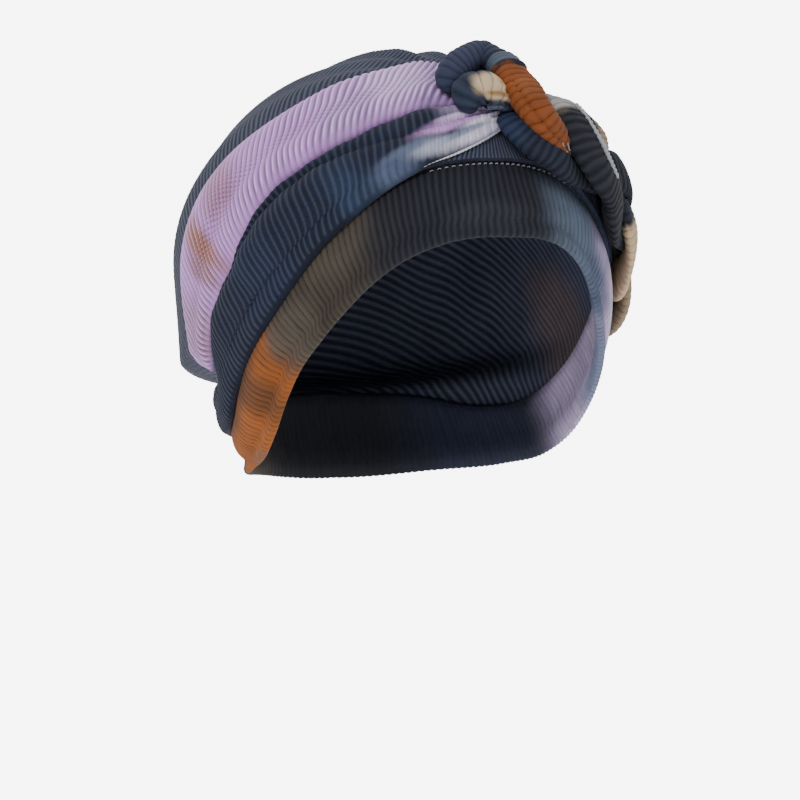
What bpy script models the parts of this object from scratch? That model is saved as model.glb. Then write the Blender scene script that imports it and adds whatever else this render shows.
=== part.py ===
"""Braided stretch turban: a crown, a forehead band, two wraps and a plait of three strands.

Metres, +Z up, the front towards -Y, the knot's side towards +X.
The origin is the middle of the hollow.
"""
import bmesh
import bpy
import numpy as np

# Cloth
WALL = 0.0020
GAP = 0.0004
LAY = 0.0009
BAND_TOP = 0.0031

# Forms: half width, front, back, top, low depth
HEAD = (0.078, 0.098, 0.098, 0.083, 0.150)
BAG = (0.0930, 0.1030, 0.1345, 0.0925, 0.300)

# Folds of the crown run from this heading and angle
KNOT = (4.0, 50.0)
# Columns: bearing round the knot, height, spread
FOLDS = (
    (-96, 0.0018, 9), (-72, 0.0022, 8), (-48, 0.0026, 7), (-28, 0.0022, 6), (-10, 0.0036, 5),
    (11, 0.0032, 5), (30, 0.0012, 7), (50, 0.0020, 8), (74, 0.0014, 8),
)

# Columns: heading, hem angle, tuck angle, corner angle, looseness
HEM = (
    (-180, -32.6, -31.8, -20, 1.0), (-155, -34.0, -32, -20, 1.0), (-133, -38.4, -31.5, -21, 1.0),
    (-120, -39.2, -31, -21.5, 1.0), (-108, -37.6, -31.5, -20, 0.9), (-99, -33.4, -31.5, -18, 0.8),
    (-90, -27.6, -27, -14, 0.74), (-78, -17, -17, -5, 0.7), (-65, -4.8, -4.8, 6, 0.75),
    (-55, 4.1, 4.1, 15, 0.85), (-47, 11.2, 11.2, 21, 0.95), (-40, 16.4, 16.4, 27, 1.0),
    (-28, 23, 23, 34, 1.0), (-14, 26.5, 26.5, 38, 1.0), (0, 27.2, 27.2, 39, 0.95),
    (12, 26.5, 26.5, 39, 0.8), (24, 22.6, 22.6, 36, 0.55), (36, 14.4, 14.4, 28, 0.3),
    (47, 5.0, 5.0, 19, 0.15), (58, -5.3, -5.3, 9, 0.10), (70, -15.5, -15.5, -1, 0.10),
    (82, -25.3, -25.3, -10, 0.15), (95, -33.0, -31.5, -16, 0.3), (110, -37.9, -32, -19, 0.5),
    (125, -39.0, -31.5, -20, 0.8), (150, -34.9, -32, -20, 0.95), (180, -32.6, -31.8, -20, 1.0),
)

# Columns: station, rim heading, rim angle, top heading, top angle, bulge
BAND = (
    (-180, -180, -50, -180, -31, 0.0020), (-150, -150, -50.5, -155, -33, 0.0020),
    (-122, -122, -52, -136, -37.5, 0.0025), (-100, -100, -51.5, -121, -38.5, 0.0035),
    (-86, -84, -48.5, -108, -36.5, 0.0042), (-76, -73, -42.5, -97, -31, 0.0046),
    (-66, -64, -34, -86, -22.5, 0.0044), (-57, -56.5, -26, -74, -11.5, 0.0040),
    (-49, -49.5, -19.3, -64, -2, 0.0036), (-41, -42, -11.8, -53, 8, 0.0030),
    (-33, -34, -4.2, -42, 17, 0.0024), (-25, -26, 1.6, -31, 24, 0.0018),
    (-16, -16, 5.8, -18, 28.3, 0.0013), (-8, -8, 7.2, -8, 29.5, 0.0011),
    (0, 0, 7.3, 0.5, 29.8, 0.0010), (8, 8, 7.0, 9, 29.3, 0.0011),
    (16, 15.5, 5.0, 18, 27.5, 0.0013), (24, 22.5, 0.5, 27, 23, 0.0018),
    (32, 29, -6, 37, 15.5, 0.0024), (40, 35, -13.5, 48, 6, 0.0030),
    (49, 43, -21, 60, -5, 0.0036), (58, 52, -28.5, 72, -15.5, 0.0040),
    (68, 62, -36, 84, -25.5, 0.0042), (80, 74, -43.5, 97, -33, 0.0042),
    (96, 92, -49.5, 111, -37.5, 0.0035), (118, 116, -51.5, 129, -38, 0.0025),
    (150, 150, -50.5, 155, -33, 0.0020), (180, 180, -50, 180, -31, 0.0020),
)

# Columns: place round the section, share across, height in mm, share of the bulge
BAND_SECTION = (
    (0.00, 0.000, 2.7, 0.00), (0.03, 0.015, 4.2, 0.00), (0.06, 0.045, 5.2, 0.00),
    (0.09, 0.085, 5.5, 0.00), (0.12, 0.125, 5.1, 0.00), (0.15, 0.160, 4.2, 0.00),
    (0.18, 0.190, 3.4, 0.03), (0.21, 0.220, 3.05, 0.12), (0.25, 0.270, 3.0, 0.35),
    (0.29, 0.330, 3.0, 0.62), (0.34, 0.410, 3.0, 0.86), (0.40, 0.510, 3.0, 1.00),
    (0.46, 0.610, 3.0, 0.97), (0.52, 0.710, 3.0, 0.78), (0.57, 0.790, 3.0, 0.45),
    (0.61, 0.860, 2.9, 0.12), (0.65, 0.930, 2.8, 0.00), (0.68, 0.985, 2.6, 0.00),
    (0.70, 1.000, 1.9, 0.00), (0.72, 0.985, 0.7, 0.00), (0.76, 0.900, 0.4, 0.00),
    (0.82, 0.700, 0.4, 0.35), (0.88, 0.450, 0.4, 0.50), (0.93, 0.220, 0.4, 0.05),
    (0.96, 0.100, 0.35, 0.00), (0.985, 0.020, 1.1, 0.00), (1.00, 0.000, 2.7, 0.00),
)

# Columns: station, low heading, low angle, high heading, high angle, height in mm
LILAC = (
    (0, -8, 43.5, 0, 56, 2.0), (1, -10, 42.9, -2.5, 62, 5.0), (2, -19.5, 41.6, -15, 62.8, 6.6),
    (3, -27.8, 38.9, -30, 60, 7.2), (4, -36.3, 35.3, -44, 55.6, 7.4), (5, -44.5, 31.3, -56, 50.9, 7.4),
    (6, -52.7, 27.1, -67, 45.4, 7.2), (7, -60.4, 22.4, -78, 39.8, 7.0), (8, -66.8, 15.9, -89, 34.2, 6.4),
    (9, -71.8, 10.5, -98, 28.3, 5.6), (10, -74.8, 5.2, -104.5, 22.5, 4.8), (11, -77.4, 1, -108.5, 16, 4.2),
    (12, -80.8, -2.8, -110.5, 9.4, 3.8), (13, -84.8, -7, -111, 2.6, 3.5), (14, -88.8, -11.5, -110.5, -4, 3.3),
    (15, -91.8, -16, -109.5, -10.3, 3.1), (16, -94.4, -20, -107.5, -16.5, 3.0), (17, -98, -24, -105, -22, 2.6),
    (18, -101.5, -26.4, -102.5, -26.2, 1.4),
)

# Columns: station, low heading, low angle, high heading, high angle, height in mm, crease place, crease depth
NAVY = (
    (0, 14.5, 41.0, 13.5, 42.0, 1.6, 0.60, 0.0), (1, 8.0, 37.8, 4.0, 40.6, 4.6, 0.60, 0.3),
    (2, 1.6, 34.3, -7, 40.8, 6.0, 0.58, 0.6), (3, -5, 30.9, -14.7, 40.9, 6.6, 0.56, 0.6),
    (4, -12.5, 27.5, -22.7, 39.7, 6.8, 0.56, 0.5), (5, -19.2, 25, -30.2, 37.2, 6.6, 0.58, 0.45),
    (6, -26.9, 21.1, -39.1, 33.2, 6.4, 0.70, 0.5), (7, -33.9, 16.5, -46.9, 29.1, 6.4, 0.80, 0.6),
    (8, -40.3, 11.3, -54.1, 25.0, 6.6, 0.86, 0.7), (9, -46.8, 5.7, -61.0, 20.3, 7.0, 0.88, 0.7),
    (10, -53.3, -1, -67.0, 14.0, 7.4, 0.90, 0.6), (11, -60.2, -8.2, -71.6, 7.4, 7.6, 0.91, 0.4),
    (12, -66.8, -14.7, -75.6, 0.4, 7.6, 0.90, 0.2), (13, -73.2, -20.5, -81.0, -5.0, 7.2, 0.88, 0.1),
    (14, -80.2, -26.4, -86.8, -11.2, 6.6, 0.85, 0.0), (15, -87.9, -31.9, -91.2, -17.2, 5.8, 0.80, 0.0),
    (16, -95.4, -36.4, -95.6, -23.2, 5.0, 0.75, 0.1), (17, -103, -40, -101, -28.4, 4.4, 0.70, 0.3),
    (18, -115, -42.5, -115, -32.0, 4.2, 0.60, 0.4), (19, -135, -42.5, -135, -32.8, 4.2, 0.55, 0.3),
    (20, -155, -41.5, -155, -33.2, 4.0, 0.50, 0.2), (21, -175, -40, -175, -33.4, 3.2, 0.50, 0.0),
    (22, -188, -38, -188, -35.5, 1.2, 0.50, 0.0),
)

# Plait, columns: place in mm, heading, angle, half width, half thickness
PLAIT = (
    (28, 29, 30, 9.4, 3.6), (62, 43, 17.5, 9.4, 2.8), (95, 60, 3.5, 9.2, 2.2), (125, 77, -6.5, 9.2, 2.2),
    (152, 93, -13.5, 9.0, 2.4), (180, 109, -16, 8.6, 2.5), (207, 126, -16, 8.0, 2.5),
    (233, 142, -15, 7.4, 2.4), (250, 153, -15, 7.0, 2.3),
)
PLAIT_END = 236.0
PERIOD = 104.0
SPREAD = 1.16
LIFT = 1.15
TURNS = (143, 23, -97)
STARTS = (46, 46, 50)

# Knot, a table for each strand, columns: heading, angle, height in mm, half width, half thickness
KNOT_ROWS = (
    (
        (-10.5, 44.2, 4.0, 4.2, 3.4), (-11.0, 46.2, 8.0, 6.0, 4.6), (-8.6, 49.2, 10.5, 6.6, 5.2),
        (-3.5, 52.0, 12.0, 6.8, 5.4), (4.2, 54.0, 13.0, 7.2, 5.4), (7.4, 50.2, 13.8, 7.8, 5.4),
        (7.6, 43.9, 14.6, 8.6, 5.4), (8.3, 37.0, 14.8, 8.8, 5.3), (10.8, 32.0, 13.8, 8.4, 5.2),
        (14.7, 29.3, 10.6, 7.4, 4.4), (20.2, 29.0, 5.6, 6.6, 3.2), (27.0, 30.0, 4.0, 6.6, 2.6),
    ),
    (
        (3.0, 37.8, 4.6, 5.0, 3.2), (4.8, 32.8, 6.6, 6.6, 4.4), (8.0, 28.8, 7.6, 7.4, 4.6),
        (12.4, 26.0, 7.0, 7.4, 4.2), (17.8, 23.6, 5.0, 7.0, 3.2), (24.0, 22.0, 4.4, 7.0, 2.8),
    ),
    (
        (-6.2, 37.6, 4.2, 4.6, 3.2), (-6.8, 38.9, 8.0, 7.0, 4.6), (-5.0, 40.5, 11.2, 8.2, 5.2),
        (-1.5, 40.7, 12.4, 8.6, 5.3), (3.3, 41.1, 9.0, 8.0, 4.4), (10.3, 41.8, 5.0, 6.4, 3.4),
        (20.5, 42.4, 4.8, 6.4, 3.6), (27.0, 40.5, 6.6, 7.8, 4.2), (25.8, 35.3, 10.4, 9.0, 4.8),
        (24.6, 29.8, 12.4, 9.4, 4.8), (25.6, 24.8, 12.0, 9.2, 4.4),
    ),
)
SOFT_START = 0.008
SOFT_END = 0.010
CLEAR = 0.00030
ROOM = 0.0009
WRAP_ROOM = 0.0018

# Grid sizes: along, round
CROWN_GRID = (50, 25)
BAND_GRID = (56, 17)
LILAC_GRID = (24, 14)
NAVY_GRID = (32, 16)
STRAND_GRID = (70, 12)

COLOURS = {
    "crown": (0.035, 0.042, 0.065, 1.0),
    "forehead_band": (0.030, 0.030, 0.036, 1.0),
    "navy_wrap": (0.020, 0.028, 0.065, 1.0),
    "lilac_wrap": (0.47, 0.29, 0.57, 1.0),
    "braid_strand_rust": (0.36, 0.13, 0.03, 1.0),
    "braid_strand_navy": (0.02, 0.03, 0.07, 1.0),
    "braid_strand_beige": (0.60, 0.48, 0.34, 1.0),
}


def curve(table, place):
    """Smooth values at a place through the rows of a table; the first column is the place."""
    rows = np.asarray(table, float)
    xs, ys = rows[:, 0], rows[:, 1:]
    slope = np.gradient(ys, xs, axis=0)
    x = np.asarray(place, float)
    i = np.clip(np.searchsorted(xs, x, side="right") - 1, 0, len(xs) - 2)
    step = xs[i + 1] - xs[i]
    t = np.clip((x - xs[i]) / step, 0, 1)[..., None]
    step = step[..., None]
    out = (1 + 2 * t) * (1 - t) ** 2 * ys[i] + t * (1 - t) ** 2 * step * slope[i]
    out = out + t * t * (3 - 2 * t) * ys[i + 1] - t * t * (1 - t) * step * slope[i + 1]
    return np.moveaxis(out, -1, 0)


def ease(t):
    """Smooth step from nought to one."""
    t = np.clip(t, 0, 1)
    return t * t * (3 - 2 * t)


def unit(v):
    """Vectors made one long."""
    return v / np.linalg.norm(v, axis=-1, keepdims=True)


def direction(heading, angle):
    """Unit vector for a heading from the front and an angle above level, in degrees."""
    a, e = np.radians(heading), np.radians(angle)
    return np.stack([np.sin(a) * np.cos(e), -np.cos(a) * np.cos(e), np.sin(e)], -1)


def angles(d):
    """Heading and angle above level of unit vectors, in degrees."""
    return np.degrees(np.arctan2(d[..., 0], -d[..., 1])), np.degrees(np.arcsin(np.clip(d[..., 2], -1, 1)))


def egg(d, size):
    """Radius of a rounded form with its own half width, front, back, top and low depth."""
    wide, front, rear, top, low = size
    y = np.where(d[..., 1] < 0, front, rear)
    z = np.where(d[..., 2] > 0, top, low)
    return 1 / np.sqrt((d[..., 0] / wide) ** 2 + (d[..., 1] / y) ** 2 + (d[..., 2] / z) ** 2)


def folds(d):
    """Height of the crown's soft folds, which run from the knot over the top."""
    k = direction(*KNOT)
    side = unit(np.cross(k, (0.0, 0.0, 1.0)))
    rise = np.cross(side, k)
    far = np.degrees(np.arccos(np.clip(d @ k, -1, 1)))
    bearing = np.degrees(np.arctan2(d @ side, d @ rise))
    out = np.zeros(d.shape[:-1])
    for turn, height, spread in FOLDS:
        off = (bearing - turn + 180) % 360 - 180
        out = out + height * np.exp(-(off / spread) ** 2)
    return out * ease((far - 12) / 25) * ease((150 - far) / 60)


def crown_radius(d):
    """Outer radius of the crown: tight at its hem, tucked up, then loose above its corner."""
    heading, angle = angles(d)
    _, tuck, corner, loose = curve(HEM, heading)
    tight = egg(d, HEAD) + BAND_TOP + GAP + WALL
    full = egg(d, BAG) + folds(d)
    share = 1 - (1 - loose) * np.cos(np.radians(angle))
    t = ease((angle - tuck) / (corner - tuck)) * share
    return tight + np.maximum(full - tight, 0) * t


def on_crown(d, height):
    """Points at a height over the crown's outer surface, and the surface's normals."""
    pole = np.where(np.abs(d[..., 2:3]) < 0.9, (0.0, 0.0, 1.0), (0.0, 1.0, 0.0))
    a = unit(np.cross(pole, d))
    b = np.cross(d, a)
    step = 0.02

    def at(v):
        v = unit(v)
        return v * crown_radius(v)[..., None]

    n = unit(np.cross(at(d + step * a) - at(d - step * a), at(d + step * b) - at(d - step * b)))
    return at(d) + n * np.asarray(height)[..., None], n


def across(table, station, share):
    """Unit vectors on a strip between its low edge and its high edge."""
    low_h, low_a, high_h, high_a = curve(table, station)[:4]
    s = share[..., None]
    return unit(direction(low_h, low_a) * (1 - s) + direction(high_h, high_a) * s)


def roll(x, power):
    """Height over a fold that is round at both edges, one at its middle."""
    return np.sqrt(np.clip(1 - np.abs(2 * np.clip(x, 0, 1) - 1) ** power, 0, 1))


def round_section(q):
    """Share across a closed section, over the top and back beneath, and a mark for the top."""
    top = q < 0.68
    over = 0.5 - 0.5 * np.cos(np.pi * q / 0.68)
    under = 0.5 + 0.5 * np.cos(np.pi * (q - 0.68) / 0.32)
    return np.where(top, over, under), top


def crown_point(u, q, grow=0.0):
    """Crown: outside from the top to the hem, then back up inside."""
    heading = -180 + 360 * u
    hem = curve(HEM, heading)[0]
    outer = 90 + (hem - 90) * np.clip(q / 0.6, 0, 1)
    inner = 90 + (hem - 90) * np.clip((1 - q) / 0.36, 0, 1)
    angle = np.where(q <= 0.6, outer, np.where(q >= 0.64, inner, hem))
    depth = (WALL + 2 * grow) * np.clip((q - 0.6) / 0.04, 0, 1) - grow
    point, _ = on_crown(direction(heading, angle), -depth)
    return point


def band_point(u, q):
    """Forehead band: a rolled rim, a valley, a soft bulge and a flat top edge."""
    station = -180 + 360 * u
    share, height, part = curve(BAND_SECTION, q)
    d = across(BAND, station, share)
    bulge = curve(BAND, station)[4]
    return d * (egg(d, HEAD) + height * 0.001 + part * bulge)[..., None]


def lilac_point(u, q, others, grow):
    """Lilac wrap: one broad fold that thins at both ends."""
    x, top = round_section(q)
    station = LILAC[-1][0] * u
    height = curve(LILAC, station)[4] * 0.001 * roll(x, 2.6)
    base, n = on_crown(across(LILAC, station, x), np.full(u.shape, LAY))
    return give_way(base, base + n * np.where(top, height, 0)[..., None], others, grow)


def navy_point(u, q, others, grow):
    """Navy wrap: a broad fold and a narrow one, with a crease between."""
    x, top = round_section(q)
    station = NAVY[-1][0] * u
    height, place, depth = curve(NAVY, station)[4:]
    whole = roll(x, 3.0)
    broad = roll(x / place, 3.0) * (x < place)
    narrow = roll((x - place) / (1 - place), 2.2) * (x >= place) * 0.85
    two = np.maximum(np.maximum(broad, narrow), 0.25 * whole)
    height = height * 0.001 * (whole * (1 - depth) + two * depth)
    base, n = on_crown(across(NAVY, station, x), np.full(u.shape, LAY))
    return give_way(base, base + n * np.where(top, height, 0)[..., None], others, grow)


def plait_rows(place, turn):
    """Middle, normal, half width and half thickness of a strand along the plait."""
    heading, angle, half, thick = curve(PLAIT, place)
    t = np.radians(turn + 360 * place / PERIOD)
    ahead, behind = curve(PLAIT, place + 1)[:2], curve(PLAIT, place - 1)[:2]
    base, n = on_crown(direction(heading, angle), np.zeros(len(place)))
    travel = on_crown(direction(*ahead), np.zeros(len(place)))[0] - on_crown(direction(*behind), np.zeros(len(place)))[0]
    front = unit(np.cross(travel, n))
    aside = SPREAD * half * np.sin(t) * 0.001
    d = unit(base + front * aside[..., None])
    height = ((1 + LIFT) * thick + 0.5 + LIFT * thick * np.sin(2 * t)) * 0.001
    point, n = on_crown(d, LAY + height)
    half = half * 0.001 * (1 - 0.18 * np.cos(t) ** 2)
    return np.column_stack([point, n, half, thick * 0.001])


def strand_path(k):
    """Rows along a strand: run, middle, normal, half width and half thickness."""
    rows = np.array(KNOT_ROWS[k], float)
    point, n = on_crown(direction(rows[:, 0], rows[:, 1]), LAY + rows[:, 2] * 0.001)
    knot = np.column_stack([point, n, rows[:, 3:] * 0.001])
    plait = plait_rows(np.arange(STARTS[k], PLAIT_END, 4.0), TURNS[k])
    path = np.concatenate([knot, plait])
    run = np.concatenate([[0], np.cumsum(np.linalg.norm(np.diff(path[:, :3], axis=0), axis=1))])
    return np.column_stack([run, path])


def strand_frames(path, s):
    """Middle, side, outward way, half width and half thickness at runs along a strand."""
    length = path[-1, 0]
    values = np.stack(curve(path, s), -1)
    ahead, behind = np.stack(curve(path, s + 0.001), -1), np.stack(curve(path, s - 0.001), -1)
    along = unit(ahead[..., :3] - behind[..., :3])
    side = unit(np.cross(along, values[..., 3:6]))
    n = np.cross(side, along)
    start = np.clip(1 - (1 - np.clip(s / SOFT_START, 0, 1)) ** 2, 0, 1)
    end = np.clip(1 - (1 - np.clip((length - s) / SOFT_END, 0, 1)) ** 2, 0, 1)
    size = np.sqrt(start * end)
    return values[..., :3], side, n, values[..., 6] * size, values[..., 7] * size


def strand_reach(points, frames, grow):
    """How far out points are in a strand's section, over one when they are outside it."""
    middle, side, n, half, thick = frames
    near = np.concatenate([
        np.argmin(((block[:, None] - middle[None]) ** 2).sum(-1), axis=1)
        for block in np.array_split(points, max(1, len(points) // 2000))
    ])
    away = points - middle[near]
    x = np.abs((away * side[near]).sum(-1)) / (half[near] + grow)
    y = np.abs((away * n[near]).sum(-1)) / (thick[near] + grow)
    return (x ** 2.4 + y ** 2.4) ** (1 / 2.4)


def give_way(base, points, others, grow):
    """Draw points back towards their base until they are clear of other strands."""
    flat_base, flat = base.reshape(-1, 3), points.reshape(-1, 3)
    share = np.full(len(flat), 0.12)
    for trial in np.linspace(0.12, 1.0, 23)[1:]:
        moved = flat_base + (flat - flat_base) * trial
        free = np.ones(len(flat), bool)
        for frames in others:
            free &= strand_reach(moved, frames, grow) >= 1
        step = (trial - share) < 0.0401
        share = np.where(free & step, trial, share)
    return (flat_base + (flat - flat_base) * share[:, None]).reshape(points.shape)


def strand_point(path, u, q, others, grow):
    """Strand: a flattened round section along its path that gives way to the other strands."""
    middle, side, n, half, thick = strand_frames(path, u * path[-1, 0])
    c, v = np.cos(2 * np.pi * q), np.sin(2 * np.pi * q)
    m = (np.abs(c) ** 2.4 + np.abs(v) ** 2.4) ** (-1 / 2.4)
    points = middle + side * (c * m * half)[..., None] + n * (v * m * thick)[..., None]
    return give_way(middle, points, others, grow)


def mapped_grid(name, grid, place, collection):
    """Closed body made from a flat grid: each vertex is placed by its share along and round."""
    mesh = bpy.data.meshes.new(name)
    work = bmesh.new()
    bmesh.ops.create_grid(work, x_segments=grid[0], y_segments=grid[1], size=0.5)
    flat = np.array([vert.co[:] for vert in work.verts])
    points = place(np.clip(flat[:, 0] + 0.5, 0, 1), np.clip(flat[:, 1] + 0.5, 0, 1))
    for vert, point in zip(work.verts, points):
        vert.co = point
    bmesh.ops.remove_doubles(work, verts=work.verts[:], dist=0.00002)
    bmesh.ops.dissolve_degenerate(work, edges=work.edges[:], dist=0.00001)
    loops = [edge for edge in work.edges if edge.is_boundary]
    if loops:
        bmesh.ops.holes_fill(work, edges=loops, sides=0)
    bmesh.ops.triangulate(work, faces=work.faces[:], quad_method="FIXED")
    bmesh.ops.recalc_face_normals(work, faces=work.faces[:])
    work.to_mesh(mesh)
    work.free()
    body = bpy.data.objects.new(name, mesh)
    collection.objects.link(body)
    return body


def finish(body):
    """Give a body its material and smooth shading."""
    material = bpy.data.materials.new(body.name)
    material.use_nodes = True
    shader = material.node_tree.nodes["Principled BSDF"]
    shader.inputs["Base Color"].default_value = COLOURS[body.name]
    shader.inputs["Roughness"].default_value = 0.85
    shader.inputs["Metallic"].default_value = 0.0
    body.data.materials.clear()
    body.data.materials.append(material)
    body.data.shade_smooth()
    body.data.set_sharp_from_angle(angle=np.radians(50))


def cut(body, cutter):
    """Take a cutter away from a body."""
    boolean = body.modifiers.new("clear " + cutter.name, "BOOLEAN")
    boolean.operation = "DIFFERENCE"
    boolean.solver = "EXACT"
    boolean.object = cutter


for item in list(bpy.data.objects):
    bpy.data.objects.remove(item)
turban = bpy.data.collections.new("turban")
cutters = bpy.data.collections.new("cutters")
bpy.context.scene.collection.children.link(turban)
bpy.context.scene.collection.children.link(cutters)

crown = mapped_grid("crown", CROWN_GRID, crown_point, turban)
band = mapped_grid("forehead_band", BAND_GRID, band_point, turban)
crown_room = mapped_grid("crown clearance", CROWN_GRID, lambda u, q: crown_point(u, q, CLEAR), cutters)
crown_room.hide_render = True
crown_room.display_type = "WIRE"

names = ("braid_strand_rust", "braid_strand_navy", "braid_strand_beige")
paths = [strand_path(number) for number in range(3)]
frames = [strand_frames(path, np.linspace(0, path[-1, 0], 240)) for path in paths]
strands = [
    mapped_grid(name, STRAND_GRID, lambda u, q: strand_point(path, u, q, frames[:number], ROOM), turban)
    for number, (name, path) in enumerate(zip(names, paths))
]
lilac = mapped_grid("lilac_wrap", LILAC_GRID, lambda u, q: lilac_point(u, q, frames, WRAP_ROOM), turban)
navy = mapped_grid("navy_wrap", NAVY_GRID, lambda u, q: navy_point(u, q, frames, WRAP_ROOM), turban)
for body in (lilac, navy):
    cut(body, crown_room)

for body in (crown, band, lilac, navy, *strands):
    finish(body)
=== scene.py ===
"""Looks of the turban: ribbed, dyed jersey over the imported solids."""

import bpy
import numpy as np
from mathutils import Matrix, Vector


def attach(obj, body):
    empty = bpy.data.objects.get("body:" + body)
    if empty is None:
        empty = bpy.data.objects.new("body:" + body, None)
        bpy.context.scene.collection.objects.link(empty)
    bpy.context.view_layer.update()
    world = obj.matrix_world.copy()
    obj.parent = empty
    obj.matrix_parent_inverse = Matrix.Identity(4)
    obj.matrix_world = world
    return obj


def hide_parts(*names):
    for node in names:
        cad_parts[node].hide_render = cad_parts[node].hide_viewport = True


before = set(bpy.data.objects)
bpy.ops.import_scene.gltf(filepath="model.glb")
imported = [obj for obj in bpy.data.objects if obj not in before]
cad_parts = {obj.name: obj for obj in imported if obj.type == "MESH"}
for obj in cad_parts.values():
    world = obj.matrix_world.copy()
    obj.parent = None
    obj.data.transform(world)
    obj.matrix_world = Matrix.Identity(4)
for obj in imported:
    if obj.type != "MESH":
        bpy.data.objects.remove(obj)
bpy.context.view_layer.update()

# In metres: the crown's wall, its gap over the band, the strands' gap over the crown, the height of
# the band's top edge over the snug form, the crown's spare depth inside and the wraps' lift over it
WALL = 0.0020
GAP = 0.0004
LAY = 0.0009
BAND_TOP = 0.0031
INNER_EASE = 0.0003
WRAP_LIFT = 0.0002

# Snug and loose forms of the crown, columns: half width, front, back, top, low depth
SNUG = (0.078, 0.098, 0.098, 0.083, 0.15)
LOOSE = (0.093, 0.103, 0.1345, 0.0925, 0.3)

# Folds of the crown run from this heading and angle
KNOT = (4.0, 50.0)
# Columns: bearing round the knot, height, spread
FOLDS = (
    (-96, 0.0018, 9), (-72, 0.0022, 8), (-48, 0.0026, 7), (-28, 0.0022, 6), (-10, 0.0036, 5),
    (11, 0.0032, 5), (30, 0.0012, 7), (50, 0.002, 8), (74, 0.0014, 8),
)

# Columns: heading, hem angle, tuck angle, corner angle, looseness
HEM = (
    (-180, -32.6, -31.8, -20, 1.0), (-155, -34.0, -32, -20, 1.0), (-133, -38.4, -31.5, -21, 1.0),
    (-120, -39.2, -31, -21.5, 1.0), (-108, -37.6, -31.5, -20, 0.9), (-99, -33.4, -31.5, -18, 0.8),
    (-90, -27.6, -27, -14, 0.74), (-78, -17, -17, -5, 0.7), (-65, -4.8, -4.8, 6, 0.75),
    (-55, 4.1, 4.1, 15, 0.85), (-47, 11.2, 11.2, 21, 0.95), (-40, 16.4, 16.4, 27, 1.0),
    (-28, 23, 23, 34, 1.0), (-14, 26.5, 26.5, 38, 1.0), (0, 27.2, 27.2, 39, 0.95),
    (12, 26.5, 26.5, 39, 0.8), (24, 22.6, 22.6, 36, 0.55), (36, 14.4, 14.4, 28, 0.3),
    (47, 5.0, 5.0, 19, 0.15), (58, -5.3, -5.3, 9, 0.1), (70, -15.5, -15.5, -1, 0.1),
    (82, -25.3, -25.3, -10, 0.15), (95, -33.0, -31.5, -16, 0.3), (110, -37.9, -32, -19, 0.5),
    (125, -39.0, -31.5, -20, 0.8), (150, -34.9, -32, -20, 0.95), (180, -32.6, -31.8, -20, 1.0),
)

# Columns: station, rim heading, rim angle, top heading, top angle, bulge
BAND = (
    (-180, -180, -50, -180, -31, 0.002), (-150, -150, -50.5, -155, -33, 0.002),
    (-122, -122, -52, -136, -37.5, 0.0025), (-100, -100, -51.5, -121, -38.5, 0.0035),
    (-86, -84, -48.5, -108, -36.5, 0.0042), (-76, -73, -42.5, -97, -31, 0.0046),
    (-66, -64, -34, -86, -22.5, 0.0044), (-57, -56.5, -26, -74, -11.5, 0.004),
    (-49, -49.5, -19.3, -64, -2, 0.0036), (-41, -42, -11.8, -53, 8, 0.003),
    (-33, -34, -4.2, -42, 17, 0.0024), (-25, -26, 1.6, -31, 24, 0.0018),
    (-16, -16, 5.8, -18, 28.3, 0.0013), (-8, -8, 7.2, -8, 29.5, 0.0011),
    (0, 0, 7.3, 0.5, 29.8, 0.001), (8, 8, 7.0, 9, 29.3, 0.0011),
    (16, 15.5, 5.0, 18, 27.5, 0.0013), (24, 22.5, 0.5, 27, 23, 0.0018),
    (32, 29, -6, 37, 15.5, 0.0024), (40, 35, -13.5, 48, 6, 0.003),
    (49, 43, -21, 60, -5, 0.0036), (58, 52, -28.5, 72, -15.5, 0.004),
    (68, 62, -36, 84, -25.5, 0.0042), (80, 74, -43.5, 97, -33, 0.0042),
    (96, 92, -49.5, 111, -37.5, 0.0035), (118, 116, -51.5, 129, -38, 0.0025),
    (150, 150, -50.5, 155, -33, 0.002), (180, 180, -50, 180, -31, 0.002),
)

# Columns: place round the section, share across, height in mm, share of the bulge
BAND_SECTION = (
    (0.0, 0.0, 2.7, 0.0), (0.03, 0.015, 4.2, 0.0), (0.06, 0.045, 5.2, 0.0),
    (0.09, 0.085, 5.5, 0.0), (0.12, 0.125, 5.1, 0.0), (0.15, 0.16, 4.2, 0.0),
    (0.18, 0.19, 3.4, 0.03), (0.21, 0.22, 3.05, 0.12), (0.25, 0.27, 3.0, 0.35),
    (0.29, 0.33, 3.0, 0.62), (0.34, 0.41, 3.0, 0.86), (0.4, 0.51, 3.0, 1.0),
    (0.46, 0.61, 3.0, 0.97), (0.52, 0.71, 3.0, 0.78), (0.57, 0.79, 3.0, 0.45),
    (0.61, 0.86, 2.9, 0.12), (0.65, 0.93, 2.8, 0.0), (0.68, 0.985, 2.6, 0.0),
    (0.7, 1.0, 1.9, 0.0), (0.72, 0.985, 0.7, 0.0), (0.76, 0.9, 0.4, 0.0),
    (0.82, 0.7, 0.4, 0.35), (0.88, 0.45, 0.4, 0.5), (0.93, 0.22, 0.4, 0.05),
    (0.96, 0.1, 0.35, 0.0), (0.985, 0.02, 1.1, 0.0), (1.0, 0.0, 2.7, 0.0),
)

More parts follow.
